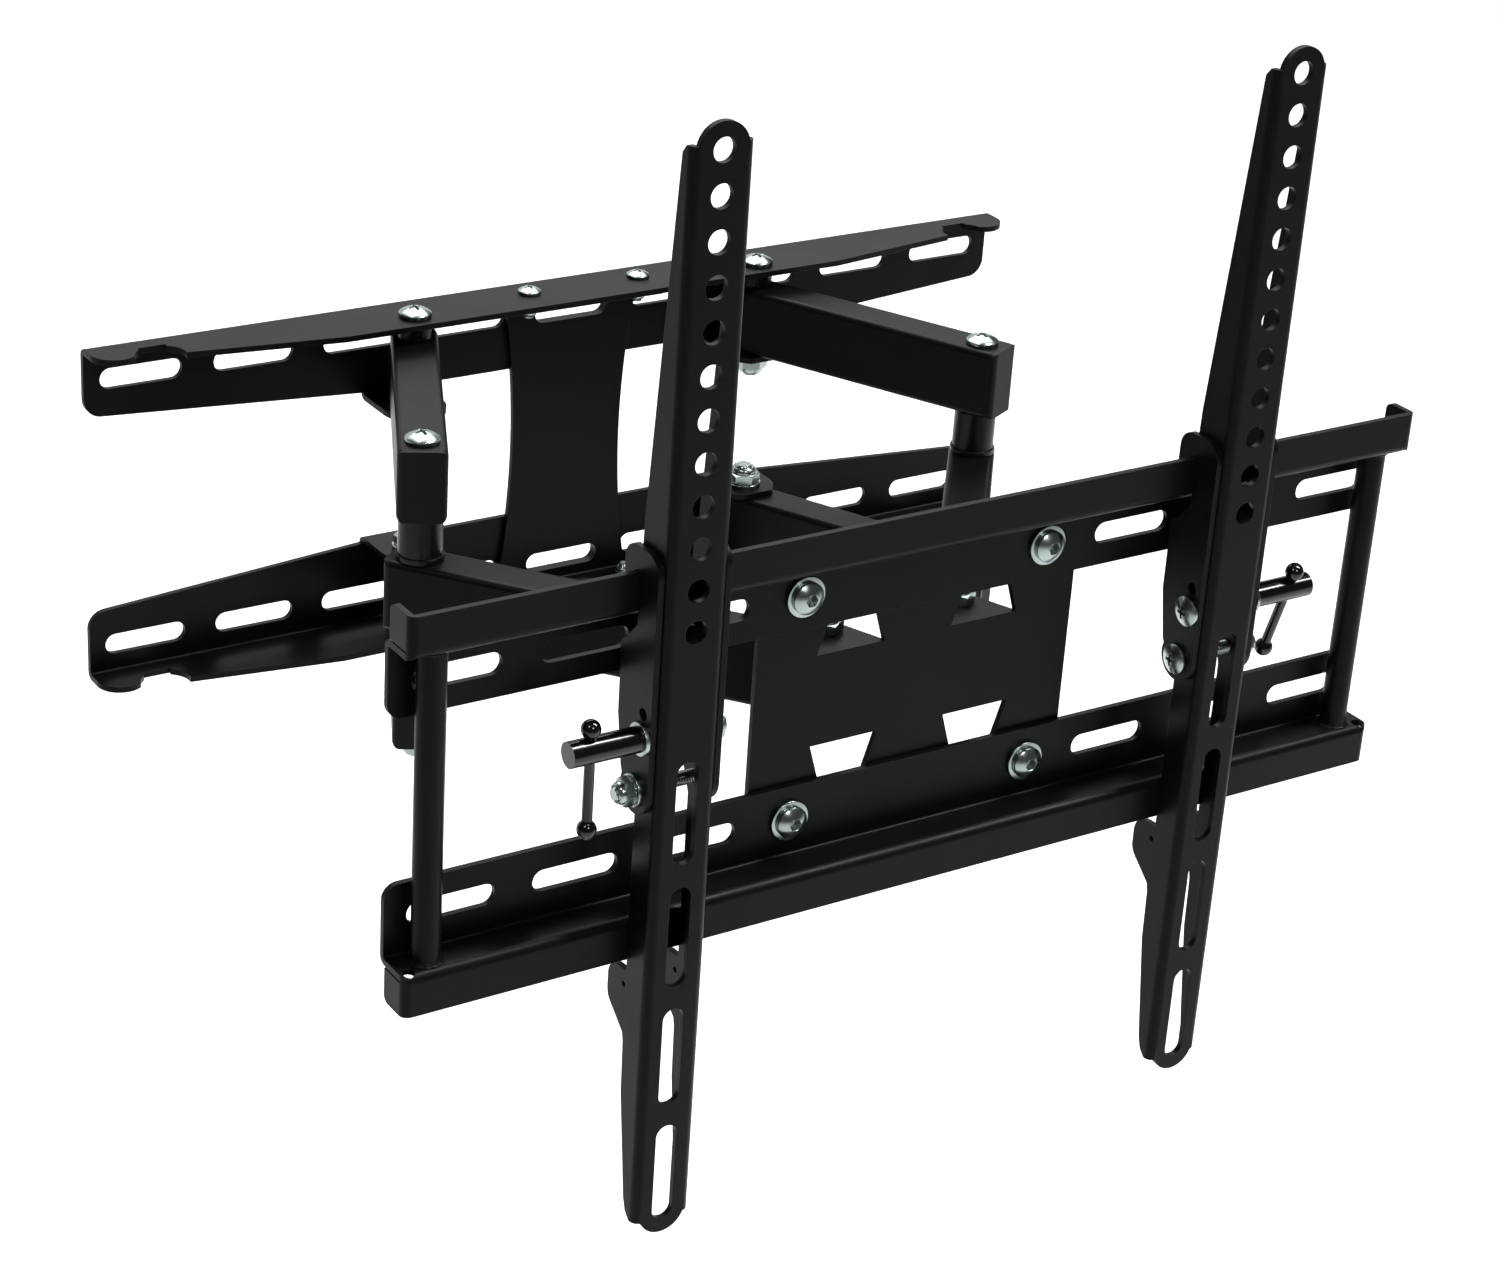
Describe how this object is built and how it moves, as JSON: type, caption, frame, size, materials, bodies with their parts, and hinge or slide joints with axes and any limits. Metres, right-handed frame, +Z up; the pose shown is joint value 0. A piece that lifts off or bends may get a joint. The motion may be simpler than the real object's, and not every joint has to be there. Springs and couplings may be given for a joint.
{
  "type": "full motion tv wall mount",
  "caption": "Wall frame with slotted flanged rails, folding tube arms, a Z-section screen frame and slotted uprights on hooks that slide, tilt and lock with T-handles.",
  "frame": {"origin": "middle of the wall frame, in the plane of the wall", "axes": "+X to the right as seen from the room, +Y into the wall, +Z up"},
  "size_m": [0.456, 0.3074, 0.44],
  "materials": {
    "black_powder_coat": "satin black powder coat with a fine texture",
    "black_nylon": "moulded black nylon",
    "plain_steel": "cut steel tube",
    "gloss_black_enamel": "gloss black enamel on steel",
    "zinc_plate": "bright zinc plate"
  },
  "bodies": {
    "wall": {"wall_top_rail": "black_powder_coat", "wall_bottom_rail": "black_powder_coat", "wall_center_plate": "black_powder_coat", "wall_plate_screws": "zinc_plate", "wall_plate_nuts": "zinc_plate", "wall_pivot_bolts_left": "zinc_plate", "wall_pivot_bolts_right": "zinc_plate", "wall_pivot_nuts": "zinc_plate", "wall_pivot_washers": "zinc_plate", "wall_pivot_spacers": "black_nylon"},
    "rear_left": {"rear_arm_upper_left": "black_powder_coat", "rear_arm_lower_left": "black_powder_coat", "rear_arm_caps_left": "black_nylon", "rear_arm_sleeves_left": "plain_steel", "elbow_bolt_left": "zinc_plate", "elbow_nut_left": "zinc_plate", "elbow_bushes_left": "black_nylon"},
    "fore_left": {"forearm_left": "black_powder_coat", "forearm_caps_left": "black_nylon", "forearm_sleeves_left": "plain_steel"},
    "rear_right": {"rear_arm_upper_right": "black_powder_coat", "rear_arm_lower_right": "black_powder_coat", "rear_arm_caps_right": "black_nylon", "rear_arm_sleeves_right": "plain_steel", "elbow_bolt_right": "zinc_plate", "elbow_nut_right": "zinc_plate", "elbow_bushes_right": "black_nylon"},
    "fore_right": {"forearm_right": "black_powder_coat", "forearm_caps_right": "black_nylon", "forearm_sleeve_right": "plain_steel"},
    "tv_frame": {"tv_top_rail": "black_powder_coat", "tv_bottom_rail": "black_powder_coat", "tv_center_plate": "black_powder_coat", "tv_post_left": "black_powder_coat", "tv_post_right": "black_powder_coat", "tv_plate_screws": "zinc_plate", "tv_plate_washers": "zinc_plate", "tv_plate_nuts": "zinc_plate", "tv_pivot_bolts": "zinc_plate", "tv_pivot_nuts": "zinc_plate", "tv_pivot_washers": "black_nylon"},
    "bracket_left": {"hook_plates_left": "black_powder_coat", "tilt_bolt_left": "zinc_plate", "tilt_nut_left": "zinc_plate"},
    "upright_left": {"upright_left": "black_powder_coat", "lock_bolt_left": "zinc_plate"},
    "handle_left": {"lock_handle_left": "gloss_black_enamel"},
    "bar_left": {"tommy_bar_left": "gloss_black_enamel"},
    "bracket_right": {"hook_plates_right": "black_powder_coat", "tilt_bolt_right": "zinc_plate", "tilt_nut_right": "zinc_plate"},
    "upright_right": {"upright_right": "black_powder_coat", "lock_bolt_right": "zinc_plate"},
    "handle_right": {"lock_handle_right": "gloss_black_enamel"},
    "bar_right": {"tommy_bar_right": "gloss_black_enamel"}
  },
  "joints": [
    {"name": "fold_left", "type": "hinge", "parent": "wall", "child": "rear_left", "pos_m": [-0.085, -0.021, 0], "axis": [0, 0, -1], "range_deg": [-26, 64]},
    {"name": "fold_right", "type": "hinge", "parent": "wall", "child": "rear_right", "pos_m": [0.085, -0.021, 0], "axis": [0, 0, 1], "range_deg": [-26, 64]},
    {"name": "elbow_left", "type": "hinge", "parent": "rear_left", "child": "fore_left", "pos_m": [-0.13497, -0.12346, 0], "axis": [0, 0, 1], "range_deg": [-46.1, 113.3]},
    {"name": "elbow_right", "type": "hinge", "parent": "rear_right", "child": "fore_right", "pos_m": [0.13497, -0.12346, 0], "axis": [0, 0, -1], "range_deg": [-46.1, 113.3]},
    {"name": "screen_left", "type": "hinge", "parent": "fore_left", "child": "tv_frame", "pos_m": [-0.031, -0.25542, 0], "axis": [0, 0, -1], "range_deg": [-20.1, 49.3]},
    {"name": "shift_left", "type": "slide", "parent": "tv_frame", "child": "bracket_left", "axis": [1, 0, 0], "range_m": [-0.045, 0.023]},
    {"name": "shift_right", "type": "slide", "parent": "tv_frame", "child": "bracket_right", "axis": [1, 0, 0], "range_m": [-0.028, 0.04]},
    {"name": "tilt_left", "type": "hinge", "parent": "bracket_left", "child": "upright_left", "pos_m": [-0.123, -0.29572, -0.0055], "axis": [-1, 0, 0], "range_deg": [0, 7]},
    {"name": "tilt_right", "type": "hinge", "parent": "bracket_right", "child": "upright_right", "pos_m": [0.128, -0.29572, -0.0055], "axis": [-1, 0, 0], "range_deg": [0, 7]},
    {"name": "lock_left", "type": "hinge", "parent": "upright_left", "child": "handle_left", "pos_m": [-0.123, -0.29902, 0.0167], "axis": [1, 0, 0], "range_deg": [-180, 45]},
    {"name": "lock_right", "type": "hinge", "parent": "upright_right", "child": "handle_right", "pos_m": [0.128, -0.29902, 0.0167], "axis": [1, 0, 0], "range_deg": [-197, 28]},
    {"name": "bar_slide_left", "type": "slide", "parent": "handle_left", "child": "bar_left", "axis": [0, 0, 1], "range_m": [0, 0.0233]},
    {"name": "bar_slide_right", "type": "slide", "parent": "handle_right", "child": "bar_right", "axis": [0, -0.2924, 0.9563], "range_m": [0, 0.0233]}
  ],
  "couplings": [
    {"joint": "fold_right", "follows": "fold_left", "ratio": 1},
    {"joint": "elbow_left", "follows": "fold_left", "ratio": 1.77},
    {"joint": "elbow_right", "follows": "fold_left", "ratio": 1.77},
    {"joint": "screen_left", "follows": "fold_left", "ratio": 0.77},
    {"joint": "tilt_right", "follows": "tilt_left", "ratio": 1}
  ]
}
